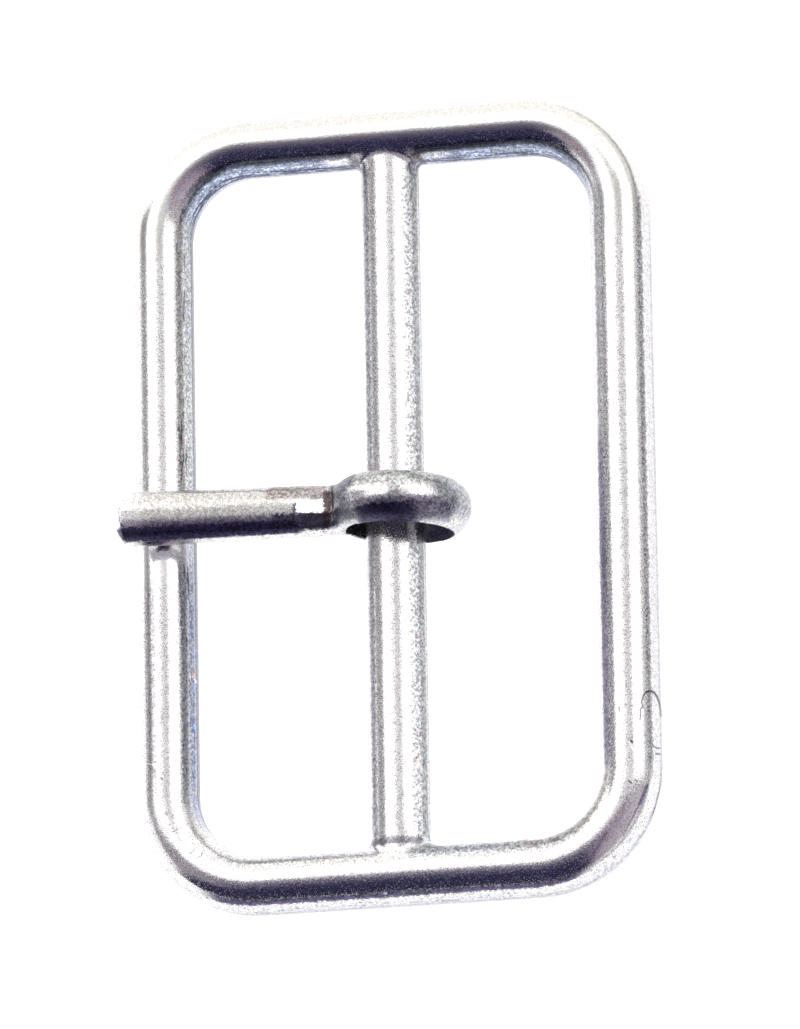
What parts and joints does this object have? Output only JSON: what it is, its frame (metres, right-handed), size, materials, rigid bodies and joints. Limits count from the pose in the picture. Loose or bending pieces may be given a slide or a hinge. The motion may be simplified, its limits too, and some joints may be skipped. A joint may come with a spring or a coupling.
{
  "type": "waistcoat buckle",
  "caption": "Rounded rectangular cast buckle with a round centre bar and a single prong whose eye swings loosely on the bar and whose tip rests across the frame.",
  "frame": {"origin": "middle of the centre bar's axis", "axes": "+Y along the centre bar, which is the buckle's longest extent; -X towards the prong's tip; +Z out of the front of the buckle"},
  "size_m": [0.0193, 0.0294, 0.0051],
  "materials": {
    "frame_plate": "bright nickel plate, worn, with fine dark pits and a few scratches",
    "prong_plate": "bright nickel plate, worn, mottled and finely pitted on the eye"
  },
  "bodies": {
    "frame": {"frame": "frame_plate"},
    "prong": {"prong": "prong_plate"}
  },
  "joints": [
    {"name": "prong_swing", "type": "hinge", "parent": "frame", "child": "prong", "pos_m": [0, 0, 0], "axis": [0, 1, 0], "range_deg": [0, 148]}
  ]
}
